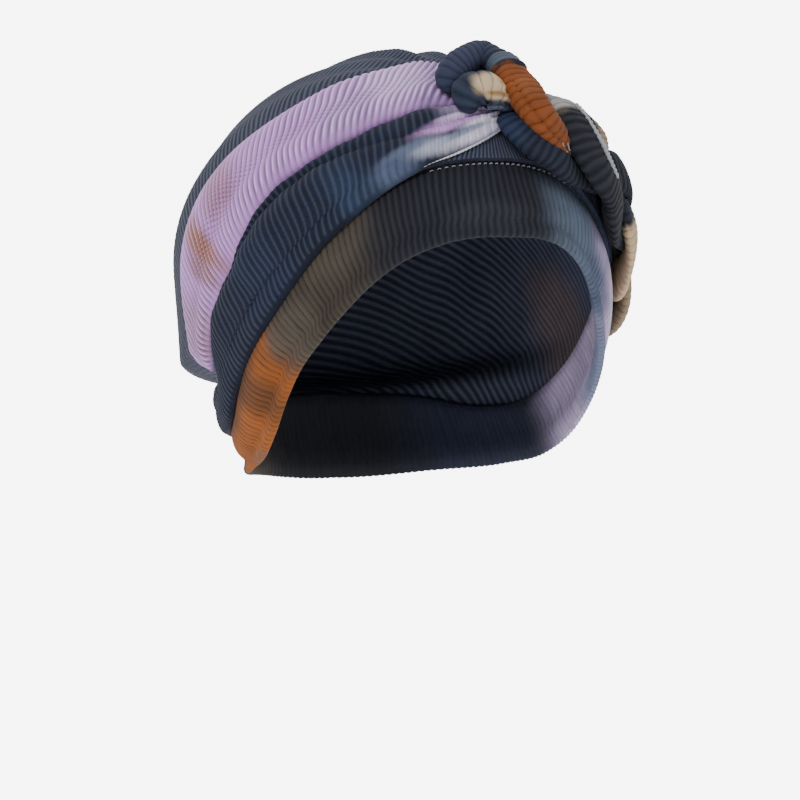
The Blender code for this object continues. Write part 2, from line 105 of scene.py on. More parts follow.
# Columns: station, low heading, low angle, high heading, high angle, height in mm
LILAC = (
    (0, -8, 43.5, 0, 56, 2.0), (1, -10, 42.9, -2.5, 62, 5.0), (2, -19.5, 41.6, -15, 62.8, 6.6),
    (3, -27.8, 38.9, -30, 60, 7.2), (4, -36.3, 35.3, -44, 55.6, 7.4), (5, -44.5, 31.3, -56, 50.9, 7.4),
    (6, -52.7, 27.1, -67, 45.4, 7.2), (7, -60.4, 22.4, -78, 39.8, 7.0), (8, -66.8, 15.9, -89, 34.2, 6.4),
    (9, -71.8, 10.5, -98, 28.3, 5.6), (10, -74.8, 5.2, -104.5, 22.5, 4.8), (11, -77.4, 1, -108.5, 16, 4.2),
    (12, -80.8, -2.8, -110.5, 9.4, 3.8), (13, -84.8, -7, -111, 2.6, 3.5), (14, -88.8, -11.5, -110.5, -4, 3.3),
    (15, -91.8, -16, -109.5, -10.3, 3.1), (16, -94.4, -20, -107.5, -16.5, 3.0),
    (17, -98, -24, -105, -22, 2.6), (18, -101.5, -26.4, -102.5, -26.2, 1.4),
)

# Columns: station, low heading, low angle, high heading, high angle, height in mm, crease place, crease depth
NAVY = (
    (0, 14.5, 41.0, 13.5, 42.0, 1.6, 0.6, 0.0), (1, 8.0, 37.8, 4.0, 40.6, 4.6, 0.6, 0.3),
    (2, 1.6, 34.3, -7, 40.8, 6.0, 0.58, 0.6), (3, -5, 30.9, -14.7, 40.9, 6.6, 0.56, 0.6),
    (4, -12.5, 27.5, -22.7, 39.7, 6.8, 0.56, 0.5), (5, -19.2, 25, -30.2, 37.2, 6.6, 0.58, 0.45),
    (6, -26.9, 21.1, -39.1, 33.2, 6.4, 0.7, 0.5), (7, -33.9, 16.5, -46.9, 29.1, 6.4, 0.8, 0.6),
    (8, -40.3, 11.3, -54.1, 25.0, 6.6, 0.86, 0.7), (9, -46.8, 5.7, -61.0, 20.3, 7.0, 0.88, 0.7),
    (10, -53.3, -1, -67.0, 14.0, 7.4, 0.9, 0.6), (11, -60.2, -8.2, -71.6, 7.4, 7.6, 0.91, 0.4),
    (12, -66.8, -14.7, -75.6, 0.4, 7.6, 0.9, 0.2), (13, -73.2, -20.5, -81.0, -5.0, 7.2, 0.88, 0.1),
    (14, -80.2, -26.4, -86.8, -11.2, 6.6, 0.85, 0.0), (15, -87.9, -31.9, -91.2, -17.2, 5.8, 0.8, 0.0),
    (16, -95.4, -36.4, -95.6, -23.2, 5.0, 0.75, 0.1), (17, -103, -40, -101, -28.4, 4.4, 0.7, 0.3),
    (18, -115, -42.5, -115, -32.0, 4.2, 0.6, 0.4), (19, -135, -42.5, -135, -32.8, 4.2, 0.55, 0.3),
    (20, -155, -41.5, -155, -33.2, 4.0, 0.5, 0.2), (21, -175, -40, -175, -33.4, 3.2, 0.5, 0.0),
    (22, -188, -38, -188, -35.5, 1.2, 0.5, 0.0),
)

# Plait, columns: place in mm, heading, angle, half width, half thickness
PLAIT = (
    (28, 29, 30, 9.4, 3.6), (62, 43, 17.5, 9.4, 2.8), (95, 60, 3.5, 9.2, 2.2), (125, 77, -6.5, 9.2, 2.2),
    (152, 93, -13.5, 9.0, 2.4), (180, 109, -16, 8.6, 2.5), (207, 126, -16, 8.0, 2.5),
    (233, 142, -15, 7.4, 2.4), (250, 153, -15, 7.0, 2.3),
)
# In mm: the plait's end and the run in which a strand goes once round; then shares of a strand's size:
# its swing aside, its lift over the others and how much it slims at a crossing
PLAIT_END = 236.0
PERIOD = 104.0
SPREAD = 1.16
LIFT = 1.15
SLIM = 0.18
# For each strand: its turn at the plait's start, in degrees, and the place where it joins, in mm
TURNS = (143, 23, -97)
STARTS = (46, 46, 50)

# Knot, a table for each strand, columns: heading, angle, height in mm, half width, half thickness
KNOT_ROWS = (
    (
        (-10.5, 44.2, 4.0, 4.2, 3.4), (-11.0, 46.2, 8.0, 6.0, 4.6), (-8.6, 49.2, 10.5, 6.6, 5.2),
        (-3.5, 52.0, 12.0, 6.8, 5.4), (4.2, 54.0, 13.0, 7.2, 5.4), (7.4, 50.2, 13.8, 7.8, 5.4),
        (7.6, 43.9, 14.6, 8.6, 5.4), (8.3, 37.0, 14.8, 8.8, 5.3), (10.8, 32.0, 13.8, 8.4, 5.2),
        (14.7, 29.3, 10.6, 7.4, 4.4), (20.2, 29.0, 5.6, 6.6, 3.2), (27.0, 30.0, 4.0, 6.6, 2.6),
    ),
    (
        (3.0, 37.8, 4.6, 5.0, 3.2), (4.8, 32.8, 6.6, 6.6, 4.4), (8.0, 28.8, 7.6, 7.4, 4.6),
        (12.4, 26.0, 7.0, 7.4, 4.2), (17.8, 23.6, 5.0, 7.0, 3.2), (24.0, 22.0, 4.4, 7.0, 2.8),
    ),
    (
        (-6.2, 37.6, 4.2, 4.6, 3.2), (-6.8, 38.9, 8.0, 7.0, 4.6), (-5.0, 40.5, 11.2, 8.2, 5.2),
        (-1.5, 40.7, 12.4, 8.6, 5.3), (3.3, 41.1, 9.0, 8.0, 4.4), (10.3, 41.8, 5.0, 6.4, 3.4),
        (20.5, 42.4, 4.8, 6.4, 3.6), (27.0, 40.5, 6.6, 7.8, 4.2), (25.8, 35.3, 10.4, 9.0, 4.8),
        (24.6, 29.8, 12.4, 9.4, 4.8), (25.6, 24.8, 12.0, 9.2, 4.4),
    ),
)
# Rounded ends of the strands, in metres
SOFT_START = 0.008
SOFT_END = 0.010


def curve(table, place):
    """Smooth values at a place through the rows of a table; the first column is the place."""
    rows = np.asarray(table, float)
    xs, ys = rows[:, 0], rows[:, 1:]
    slope = np.gradient(ys, xs, axis=0)
    x = np.asarray(place, float)
    i = np.clip(np.searchsorted(xs, x, side="right") - 1, 0, len(xs) - 2)
    step = xs[i + 1] - xs[i]
    t = np.clip((x - xs[i]) / step, 0, 1)[..., None]
    step = step[..., None]
    out = (1 + 2 * t) * (1 - t) ** 2 * ys[i] + t * (1 - t) ** 2 * step * slope[i]
    out = out + t * t * (3 - 2 * t) * ys[i + 1] - t * t * (1 - t) * step * slope[i + 1]
    return np.moveaxis(out, -1, 0)


def ease(t):
    """Smooth step from nought to one."""
    t = np.clip(t, 0, 1)
    return t * t * (3 - 2 * t)


def unit(v):
    """Vectors made one long."""
    return v / np.linalg.norm(v, axis=-1, keepdims=True)


def direction(heading, angle):
    """Unit vector for a heading from the front and an angle above level, in degrees."""
    a, e = np.radians(heading), np.radians(angle)
    return np.stack([np.sin(a) * np.cos(e), -np.cos(a) * np.cos(e), np.sin(e)], -1)


def angles(d):
    """Heading and angle above level of unit vectors, in degrees."""
    return np.degrees(np.arctan2(d[..., 0], -d[..., 1])), np.degrees(np.arcsin(np.clip(d[..., 2], -1, 1)))


def egg(d, size):
    """Radius of a rounded form with its own half width, front, back, top and low depth."""
    wide, front, rear, top, low = size
    y = np.where(d[..., 1] < 0, front, rear)
    z = np.where(d[..., 2] > 0, top, low)
    return 1 / np.sqrt((d[..., 0] / wide) ** 2 + (d[..., 1] / y) ** 2 + (d[..., 2] / z) ** 2)


def knot_axes():
    """Unit vectors out of the knot, to its side and up."""
    k = direction(*KNOT)
    side = unit(np.cross(k, (0.0, 0.0, 1.0)))
    return k, side, np.cross(side, k)


def folds(d):
    """Height of the crown's soft folds, which run from the knot over the top."""
    k, side, rise = knot_axes()
    far = np.degrees(np.arccos(np.clip(d @ k, -1, 1)))
    bearing = np.degrees(np.arctan2(d @ side, d @ rise))
    out = np.zeros(d.shape[:-1])
    for turn, height, spread in FOLDS:
        off = (bearing - turn + 180) % 360 - 180
        out = out + height * np.exp(-(off / spread) ** 2)
    return out * ease((far - 12) / 25) * ease((150 - far) / 60)


def crown_radius(d):
    """Outer radius of the crown: tight at its hem, tucked up, then loose above its corner."""
    heading, angle = angles(d)
    _, tuck, corner, loose = curve(HEM, heading)
    tight = egg(d, SNUG) + BAND_TOP + GAP + WALL
    full = egg(d, LOOSE) + folds(d)
    share = 1 - (1 - loose) * np.cos(np.radians(angle))
    t = ease((angle - tuck) / (corner - tuck)) * share
    return tight + np.maximum(full - tight, 0) * t


def on_crown(d, height=0.0):
    """Points at a height over the crown's outer surface, and the surface's normals."""
    pole = np.where(np.abs(d[..., 2:3]) < 0.9, (0.0, 0.0, 1.0), (0.0, 1.0, 0.0))
    a = unit(np.cross(pole, d))
    b = np.cross(d, a)
    step = 0.02

    def at(v):
        v = unit(v)
        return v * crown_radius(v)[..., None]

    n = unit(np.cross(at(d + step * a) - at(d - step * a), at(d + step * b) - at(d - step * b)))
    return at(d) + n * np.asarray(height)[..., None], n


def across(table, station, share):
    """Unit vectors on a strip between its low edge and its high edge."""
    low_h, low_a, high_h, high_a = curve(table, station)[:4]
    s = np.asarray(share)[..., None]
    return unit(direction(low_h, low_a) * (1 - s) + direction(high_h, high_a) * s)


def roll(x, power):
    """Height over a fold that is round at both edges, one at its middle."""
    return np.sqrt(np.clip(1 - np.abs(2 * np.clip(x, 0, 1) - 1) ** power, 0, 1))


def round_section(q):
    """Share across a closed section, over the top and back beneath, and a mark for the top."""
    top = q < 0.68
    over = 0.5 - 0.5 * np.cos(np.pi * q / 0.68)
    under = 0.5 + 0.5 * np.cos(np.pi * (q - 0.68) / 0.32)
    return np.where(top, over, under), top


def band_point(u, q):
    """Forehead band: a rolled rim, a valley, a soft bulge and a flat top edge."""
    station = -180 + 360 * u
    share, height, part = curve(BAND_SECTION, q)
    d = across(BAND, station, share)
    bulge = curve(BAND, station)[4]
    return d * (egg(d, SNUG) + height * 0.001 + part * bulge)[..., None]


def plait_rows(place, turn):
    """Middle, normal, half width and half thickness of a strand along the plait."""
    heading, angle, half, thick = curve(PLAIT, place)
    t = np.radians(turn + 360 * place / PERIOD)
    ahead, behind = curve(PLAIT, place + 1)[:2], curve(PLAIT, place - 1)[:2]
    base, n = on_crown(direction(heading, angle))
    travel = on_crown(direction(*ahead))[0] - on_crown(direction(*behind))[0]
    front = unit(np.cross(travel, n))
    aside = SPREAD * half * np.sin(t) * 0.001
    d = unit(base + front * aside[..., None])
    height = ((1 + LIFT) * thick + 0.5 + LIFT * thick * np.sin(2 * t)) * 0.001
    point, n = on_crown(d, LAY + height)
    half = half * 0.001 * (1 - SLIM * np.cos(t) ** 2)
    return np.column_stack([point, n, half, thick * 0.001])


def strand_path(k):
    """Rows along a strand: run, middle, normal, half width and half thickness."""
    rows = np.array(KNOT_ROWS[k], float)
    point, n = on_crown(direction(rows[:, 0], rows[:, 1]), LAY + rows[:, 2] * 0.001)
    knot = np.column_stack([point, n, rows[:, 3:] * 0.001])
    plait = plait_rows(np.arange(STARTS[k], PLAIT_END, 4.0), TURNS[k])
    path = np.concatenate([knot, plait])
    run = np.concatenate([[0], np.cumsum(np.linalg.norm(np.diff(path[:, :3], axis=0), axis=1))])
    return np.column_stack([run, path])


def strand_frames(path, s):
    """Middle, side, outward way, half width and half thickness at runs along a strand."""
    length = path[-1, 0]
    values = np.stack(curve(path, s), -1)
    ahead, behind = np.stack(curve(path, s + 0.001), -1), np.stack(curve(path, s - 0.001), -1)
    along = unit(ahead[..., :3] - behind[..., :3])
    side = unit(np.cross(along, values[..., 3:6]))
    n = np.cross(side, along)
    start = np.clip(1 - (1 - np.clip(s / SOFT_START, 0, 1)) ** 2, 0, 1)
    end = np.clip(1 - (1 - np.clip((length - s) / SOFT_END, 0, 1)) ** 2, 0, 1)
    size = np.sqrt(start * end)
    return values[..., :3], side, n, values[..., 6] * size, values[..., 7] * size


# Ribs, in metres: their spacing on the wraps, band and strands, then their height on each cloth
RIB = 0.0033
BAND_RIB = 0.0030
STRAND_RIB = 0.0029
CROWN_CORD = 0.00075
BAND_CORD = 0.00062
LILAC_PLEAT = 0.0011
NAVY_CORD = 0.0007
STRAND_CORD = 0.0007
# The crown's ribs for each degree away from the knot, the ribs round its hem and the hem's depth in degrees
CROWN_RATE = 0.56
HEM_RIBS = 150
HEM_DEPTH = 7
# Shares across the band: the middle of its face and its sewn seam
BAND_MIDDLE = 0.34
SEAM = 0.86


def ripple(p, size, seed):
    """Smooth waves between -1 and 1 with a given size, from points."""
    rng = np.random.default_rng(seed)
    out = np.zeros(p.shape[:-1])
    for _ in range(5):
        way = rng.normal(size=3)
        way = way / np.linalg.norm(way) * rng.uniform(0.6, 1.5)
        out = out + np.sin(p @ way * 2 * np.pi / size + rng.uniform(0, 6.28))
    return out / 3.2


def cord_ribs(phase):
    """Round cords with narrow grooves, from nought in a groove to one on a crest."""
    x = phase - np.floor(phase) - 0.5
    return np.sqrt(np.clip(1 - 3.9 * x * x, 0, 1))


def pleat_ribs(phase):
    """Pleats that rise slowly and drop fast, from nought to one."""
    x = phase - np.floor(phase)
    return ease(np.minimum(x / 0.60, (1 - x) / 0.40) * 1.15)


def normals(p, closed_u):
    """Unit normals of a grid of points that wraps round in its second direction."""
    around = np.roll(p, -1, 1) - np.roll(p, 1, 1)
    along = np.roll(p, -1, 0) - np.roll(p, 1, 0) if closed_u else np.gradient(p, axis=0)
    n = np.cross(along, around)
    return n / np.maximum(np.linalg.norm(n, axis=-1, keepdims=True), 1e-12)


def outward(p, n):
    """Normals turned so that the closed surface they belong to faces outward."""
    middle = p.mean(1, keepdims=True)
    return n if ((p - middle) * n).sum(-1).mean() > 0 else -n


def closed_normals(p, closed_u=False):
    """Outward normals of a grid whose last column, and last row if it wraps, repeats the first."""
    core = p[:-1, :-1] if closed_u else p[:, :-1]
    n = outward(core, normals(core, closed_u))
    if closed_u:
        n = np.concatenate([n, n[:1]])
    return np.concatenate([n, n[:, :1]], 1)


def build(name, p, closed_u, cloth, ribs, height):
    """Closed body from a grid of points that wraps round in its second direction.

    The first direction wraps too, or each end is closed by a fan round its middle.
    cloth and ribs are coordinates with one more column, and one more row if the first wraps."""
    nu, nv = p.shape[:2]
    i, j = np.meshgrid(np.arange(nu if closed_u else nu - 1), np.arange(nv), indexing="ij")
    i, j = i.ravel(), j.ravel()
    corner = np.stack([i, i + 1, i + 1, i], 1), np.stack([j, j, j + 1, j + 1], 1)
    quads = (corner[0] % nu) * nv + corner[1] % nv
    places = [p.reshape(-1, 3)]
    highs = [height.ravel()]
    loops = [quads.ravel()]
    starts = [4 * np.arange(len(quads))]
    sheets = [[grid[corner[0], corner[1]].reshape(-1, 2)] for grid in (cloth, ribs)]
    if not closed_u:
        for row, mark in ((0, nu * nv), (nu - 1, nu * nv + 1)):
            near = np.arange(nv)
            a, b = (near + 1, near) if row == 0 else (near, near + 1)
            fan = np.stack([np.full(nv, mark), row * nv + a % nv, row * nv + b % nv], 1)
            places.append(p[row].mean(0)[None])
            highs.append(height[row].mean()[None])
            starts.append(sum(len(part) for part in loops) + 3 * near)
            loops.append(fan.ravel())
            for sheet, grid in zip(sheets, (cloth, ribs)):
                mid = np.repeat(grid[row].mean(0)[None], nv, 0)
                sheet.append(np.stack([mid, grid[row][a], grid[row][b]], 1).reshape(-1, 2))
    places, loops, starts = np.concatenate(places), np.concatenate(loops), np.concatenate(starts)
    mesh = bpy.data.meshes.new(name)
    mesh.vertices.add(len(places))
    mesh.vertices.foreach_set("co", places.ravel().astype(np.float32))
    mesh.loops.add(len(loops))
    mesh.loops.foreach_set("vertex_index", loops.astype(np.int32))
    mesh.polygons.add(len(starts))
    mesh.polygons.foreach_set("loop_start", starts.astype(np.int32))
    mesh.update(calc_edges=True)
    for title, sheet in zip(("cloth", "ribs"), sheets):
        layer = mesh.uv_layers.new(name=title)
        layer.data.foreach_set("uv", np.concatenate(sheet).ravel().astype(np.float32))
    high = mesh.attributes.new("height", "FLOAT", "POINT")
    high.data.foreach_set("value", np.concatenate(highs).astype(np.float32))
    mesh.validate()
    tri = places[quads]
    volume = (tri[:, 0] * np.cross(tri[:, 1], tri[:, 2]) + tri[:, 0] * np.cross(tri[:, 2], tri[:, 3])).sum()
    if volume < 0:
        mesh.flip_normals()
    mesh.shade_smooth()
    piece = bpy.data.objects.new(name, mesh)
    bpy.context.scene.collection.objects.link(piece)
    return piece


def belongs(piece, node, material, stands_for=True):
    """A piece takes its material and its place on the root, hides the node's imported part when it stands for
    that node, and is returned.
    """
    piece.data.materials.append(material)
    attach(piece, "root")
    if stands_for:
        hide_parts(node)
    return piece


def even_runs(place_of, low, high, count):
    """Places along a line at even distances, and the line's length."""
    t = np.linspace(low, high, 1500)
    p = place_of(t)
    run = np.concatenate([[0], np.cumsum(np.linalg.norm(np.diff(p, axis=0), axis=1))])
    return np.interp(np.linspace(0, run[-1], count), run, t), run[-1]


# Crown

def knot_way(bearing, far):
    """Unit vectors at a bearing round the knot and an angle away from it, in degrees."""
    k, side, rise = knot_axes()
    b, f = np.radians(bearing)[..., None], np.radians(far)[..., None]
    return k * np.cos(f) + (side * np.sin(b) + rise * np.cos(b)) * np.sin(f)


def hem_distance(bearing):
    """Angle from the knot to the crown's hem at each bearing, in degrees."""
    far = np.linspace(4, 178, 1200)
    b, f = np.meshgrid(bearing, far, indexing="ij")
    heading, angle = angles(knot_way(b, f))
    below = angle < curve(HEM, heading)[0]
    return far[np.argmax(below, axis=1)]


def crown_cloth():
    """Crown: rings round the knot, from the knot out to the hem and back inside.

    Each point is on the crown's surface, moved along its normal by a cord that repeats with the angle
    from the knot, by gathers that fade away from the knot and by broad soft waves. The inside is the
    same surface, one wall deeper."""
    columns, outer, turn, inner = 168, 470, 5, 84
    bearing = np.linspace(-180, 180, columns + 1)
    hem = hem_distance(bearing[:-1])
    for _ in range(3):
        hem = (np.roll(hem, 1) + 2 * hem + np.roll(hem, -1)) / 4
    hem = np.append(hem, hem[0])
    share = np.concatenate([
        np.linspace(0.012, 1, outer), np.ones(turn), np.linspace(1, 0.02, inner),
    ])
    depth = np.concatenate([
        np.zeros(outer), np.linspace(0.1, 0.9, turn), np.ones(inner),
    ])
    f, b = share[:, None] * hem[None], np.broadcast_to(bearing, (len(share), columns + 1))
    depth = depth[:, None]
    d = knot_way(b, f)
    base, n = on_crown(d)
    phase = f * CROWN_RATE + 0.5 * ripple(base, 0.11, 3) + 0.22 * ripple(base, 0.03, 4)
    high = cord_ribs(phase)
    edge = (hem - f < HEM_DEPTH) & (depth == 0)
    fade = ease((hem - f - (HEM_DEPTH - 1)) / 3) * (depth == 0)
    around = np.radians(b)
    gather = 0.0011 * np.sin(around * 26 + 1.5 * np.sin(around * 5)) * np.exp(-((f - 15) / 14) ** 2)
    soft = 0.0009 * ripple(base, 0.075, 8) * ease((f - 20) / 30)
    lift = (CROWN_CORD * (high - 0.55) + gather + soft) * fade
    p = base + n * (lift - depth * (WALL + INNER_EASE))[..., None]
    cloth = np.stack([b / 100, f / 100], -1)
    ribs = np.stack([np.where(edge, b * HEM_RIBS / 360, phase), around * np.sin(np.radians(f)) * 30], -1)
    height = np.where(edge | (depth == 1), -1.0, high * fade + 0.6 * (1 - fade))
    return p[:, :-1], cloth, ribs, height[:, :-1]


# Forehead band

def band_cloth():
    """Forehead band: its closed section swept once round, with cords across it.

    The height is the section's own, plus a cord that repeats along the band and bends near both edges,
    less a groove at the seam, plus broad soft waves."""
    q = np.interp(np.linspace(0, 1, 45), [0, 0.84, 1], [0, 0.70, 1])

    def line(t):
        return band_point((t + 180) / 360, BAND_MIDDLE)

    _, length = even_runs(line, -180, 180, 10)
    count = int(round(length / BAND_RIB))
    station, _ = even_runs(line, -180, 180, count * 7 + 1)
    s, k = np.meshgrid(station, q, indexing="ij")
    p = band_point((s + 180) / 360, k)
    share = curve(BAND_SECTION, k)[0]
    number = np.linspace(0, count, len(station))[:, None]
    bend = 0.55 * ease((0.27 - share) / 0.15) - 0.35 * ease((share - 0.55) / 0.5)
    wander = 0.22 * ripple(p, 0.055, 5) + 0.10 * ripple(p, 0.02, 6)
    phase = number + bend + wander
    high = cord_ribs(phase)
    n = closed_normals(p, True)
    top = ease(k / 0.02) * ease((0.70 - k) / 0.03)
    face = top + 0.45 * ease((k - 0.73) / 0.03) * ease((1 - k) / 0.04)
    seam = 1 - 0.8 * np.exp(-((share - SEAM) / 0.02) ** 2)
    groove = 0.0007 * np.exp(-((share - SEAM) / 0.016) ** 2) * top
    lift = BAND_CORD * (high - 0.6) * seam * face - groove
    lift = lift + 0.0004 * ripple(p, 0.06, 9) * top * ease((share - 0.25) / 0.2)
    p = p + n * lift[..., None]
    cloth = np.stack([s / 100, share], -1)
    ribs = np.stack([phase, k * 30], -1)
    return p[:-1, :-1], cloth, ribs, (high * face + 0.6 * (1 - face))[:-1, :-1]


# Wraps

def wrap_grid(table, columns, rows_per_rib):
    """Even stations along a wrap, shares across it, a mark for its top, its run and its width."""
    last = table[-1][0]

    def line(t):
        return on_crown(across(table, t, 0.5))[0]

    _, length = even_runs(line, 0, last, 10)
    station, _ = even_runs(line, 0, last, int(length / RIB * rows_per_rib))
    q = np.linspace(0, 1, columns + 1)
    over = np.interp(q, [0, 0.76, 1], [0, 0.68, 1])
    s, k = np.meshgrid(station, over, indexing="ij")
    x, top = round_section(k)
    run = np.linspace(0, length, len(station))[:, None]
    low, _ = on_crown(across(table, station, 0.0))
    high, _ = on_crown(across(table, station, 1.0))
    return s, x, top, run, np.linalg.norm(high - low, axis=-1)[:, None]


def wrap_maps(p, s, x, width, phase, high, fade):
    """A wrap's points, cloth and rib coordinates and rib height, without the repeated column."""
    cloth = np.stack([s / 10, x], -1)
    ribs = np.stack([phase, x * width * 300], -1)
    return p[:, :-1], cloth, ribs, (high * fade + 0.5 * (1 - fade))[:, :-1]


def lilac_cloth():
    """Lilac wrap: one broad fold with leaning pleats and a smooth rolled lower edge.

    The height over the crown is the table's times a round fold. Pleats that rise slowly and drop fast
    repeat along it, lean across it and sway at its middle, with fine crinkles next to the knot."""
    s, x, top, run, width = wrap_grid(LILAC, 58, 9)
    full = roll(x, 2.6) * (1 - 0.10 * np.exp(-((x - 0.36) / 0.07) ** 2))
    height = curve(LILAC, s)[4] * 0.001 * full
    base, n = on_crown(across(LILAC, s, x), WRAP_LIFT)
    p = base + n * np.where(top, height, 0)[..., None]
    sway = np.tanh((x - 0.40) / 0.10) * 0.55
    phase = run / RIB + 0.38 * (x - 0.5) * width / RIB + sway + 0.25 * ripple(base, 0.05, 11)
    phase = phase + 0.12 * ripple(base, 0.018, 12)
    high = pleat_ribs(phase)
    fade = np.where(top, ease(x / 0.16) * 0.8 + 0.2, 0) * ease((1 - x) / 0.04) * top
    crinkle = 0.0007 * ripple(base, 0.012, 13) * ease((4 - s) / 3) * top
    p = p + closed_normals(p) * (LILAC_PLEAT * (high - 0.5) * fade + crinkle * ease(s / 0.5))[..., None]
    return wrap_maps(p, s, x, width, phase, high, fade)


def navy_cloth():
    """Navy wrap: a broad fold and a narrow one with a crease between, and wavy slanting cords.

    The height over the crown is the table's times a mix of one round fold and of two side by side,
    with cords that repeat along it, gathers next to the knot and fine crinkles."""
    s, x, top, run, width = wrap_grid(NAVY, 54, 7)
    height, place, depth = curve(NAVY, s)[4:]
    whole = roll(x, 3.0)
    broad = roll(x / place, 3.0) * (x < place)
    narrow = roll((x - place) / (1 - place), 2.2) * (x >= place) * 0.85
    two = np.maximum(np.maximum(broad, narrow), 0.25 * whole)
    height = height * 0.001 * (whole * (1 - depth) + two * depth)
    base, n = on_crown(across(NAVY, s, x), WRAP_LIFT)
    p = base + n * np.where(top, height, 0)[..., None]
    phase = run / RIB + 0.55 * (x - 0.5) * width / RIB + 0.40 * ripple(base, 0.045, 21)
    phase = phase + 0.18 * ripple(base, 0.016, 22)
    high = cord_ribs(phase)
    fade = ease(x / 0.05) * ease((1 - x) / 0.05) * top
    gather = 0.0007 * np.sin(x * 34) * ease((5 - s) / 4) * top
    crinkle = 0.0006 * ripple(base, 0.02, 23) * top
    lift = (NAVY_CORD * (high - 0.55) + gather + crinkle) * fade * ease(s / 0.4)
    p = p + closed_normals(p) * lift[..., None]
    return wrap_maps(p, s, x, width, phase, high, fade)


# Strands

# Fuller or slimmer stretches of the strands, columns: strand, run, spread, more width, more thickness
FULLER = (
    (0, 0.025, 0.025, -0.08, -0.04), (0, 0.070, 0.025, -0.08, -0.02), (0, 0.160, 0.060, 0.08, 0.00),
    (1, 0.085, 0.030, 0.16, 0.05), (2, 0.014, 0.010, 0.15, -0.02), (2, 0.083, 0.018, 0.45, 0.05),
    (2, 0.125, 0.020, 0.22, 0.08), (1, 0.105, 0.030, 0.20, 0.12), (2, 0.115, 0.018, 0.25, 0.12),
)
# Size of every strand's cloth against its path's, and the power of its section
STRAND_WIDE = 1.02
STRAND_DEEP = 1.08
STRAND_POWER = 2.2


def strand_base(number, s, q):
    """Points on a strand's flattened round at runs and places round it."""
    middle, side, n, half, thick = strand_frames(strand_path(number), s)
    wide, deep = STRAND_WIDE, STRAND_DEEP
    for strand, run, spread, more, higher in FULLER:
        if strand == number:
            part = np.exp(-((s - run) / spread) ** 2)
            wide, deep = wide + more * part, deep + higher * part
    c, v = np.cos(2 * np.pi * q), np.sin(2 * np.pi * q)
    m = (np.abs(c) ** STRAND_POWER + np.abs(v) ** STRAND_POWER) ** (-1 / STRAND_POWER)
    return middle + side * (c * m * half * wide)[..., None] + n * (v * m * thick * deep)[..., None]


def strand_cloth(number):
    """Strand: a full flattened round along its path, with cords round it.

    The section is a superellipse of power 2.2. It is moved along its normal by a cord that repeats
    with the run and by soft waves, with a crease and a lap on the first strand and two folds on the
    third."""
    length = strand_path(number)[-1, 0]
    count = int(length / STRAND_RIB * 8)
    s, q = np.meshgrid(np.linspace(0.0004, length - 0.0004, count), np.linspace(0, 1, 45), indexing="ij")
    p = strand_base(number, s, q)
    c = np.cos(2 * np.pi * q)
    phase = s / STRAND_RIB + 0.35 * c + 0.30 * ripple(p, 0.03, 31 + number)
    phase = phase + 0.14 * ripple(p, 0.012, 41 + number)
    high = cord_ribs(phase)
    ends = ease(s / 0.006) * ease((length - s) / 0.006)
    lift = STRAND_CORD * (high - 0.6) + 0.0006 * ripple(p, 0.022, 51 + number)
    if number == 0:
        crease = np.exp(-((q - 0.12) / 0.018) ** 2) * ease((s - 0.052) / 0.012) * ease((0.092 - s) / 0.006)
        lap = np.exp(-((s - 0.0475) / 0.0011) ** 2) * ease((0.45 - q) / 0.05)
        lift = lift - 0.0018 * crease + 0.0008 * lap
    if number == 2:
        fold = np.exp(-((q - 0.17) / 0.02) ** 2) + np.exp(-((q - 0.05) / 0.02) ** 2)
        lift = lift - 0.0016 * fold * ease(s / 0.006) * ease((0.026 - s) / 0.006)
    p = p + closed_normals(p) * (lift * ends)[..., None]
    cloth = np.stack([s * 10, q], -1)
    ribs = np.stack([phase, q * 12], -1)
    return p[:, :-1], cloth, ribs, high[:, :-1]


def tube(name, line, radius, sides=8):
    """Thin round thread along a line of points, with closed ends."""
    line = np.asarray(line, float)
    along = np.gradient(line, axis=0)
    along = along / np.linalg.norm(along, axis=1, keepdims=True)
    side = np.cross(along, (0.31, 0.22, 0.92))
    side = side / np.linalg.norm(side, axis=1, keepdims=True)
    up = np.cross(side, along)
    a = np.linspace(0, 2 * np.pi, sides + 1)
    r = np.broadcast_to(np.asarray(radius, float), (len(line),))
    ring = side[:, None] * np.cos(a)[:, None] + up[:, None] * np.sin(a)[:, None]
    p = line[:, None] + r[:, None, None] * ring
    u, v = np.meshgrid(np.arange(len(line)) * 0.05, a / 6.283, indexing="ij")
    grid = np.stack([u, v], -1)
    return build(name, p[:, :-1], False, grid, grid, np.full(p.shape[:2], 0.8)[:, :-1])


# Materials

def new_group(name, inputs, outputs):
    """Node group with named inputs and outputs of given kinds."""
    group = bpy.data.node_groups.new(name, "ShaderNodeTree")
    for way, sockets in (("INPUT", inputs), ("OUTPUT", outputs)):
        for title, kind in sockets.items():
            group.interface.new_socket(title, in_out=way, socket_type="NodeSocket" + kind)
    return group, group.nodes.new("NodeGroupInput").outputs, group.nodes.new("NodeGroupOutput").inputs


def feed(tree, value, slot):
    """Link a socket to a slot, or set the slot to a number, vector or colour."""
    if hasattr(value, "links"):
        tree.links.new(value, slot)
    else:
        slot.default_value = value


def add(tree, kind, settings=None, **given):
    """New node of a kind with its settings, and values or links for its named inputs."""
    node = tree.nodes.new("ShaderNode" + kind)
    for title, value in (settings or {}).items():
        setattr(node, title, value)
    for title, value in given.items():
        feed(tree, value, node.inputs[title.replace("_", " ")])
    return node


def maths(tree, kind, *values):
    """Maths on sockets or numbers."""
    node = add(tree, "Math", {"operation": kind})
    for slot, value in zip(node.inputs, values):
        feed(tree, value, slot)
    return node.outputs[0]


def vectors(tree, kind, *values):
    """Vector maths on sockets or vectors."""
    node = add(tree, "VectorMath", {"operation": kind})
    for slot, value in zip(node.inputs, values):
        feed(tree, value, slot)
    return node.outputs["Value" if kind == "LENGTH" else "Vector"]


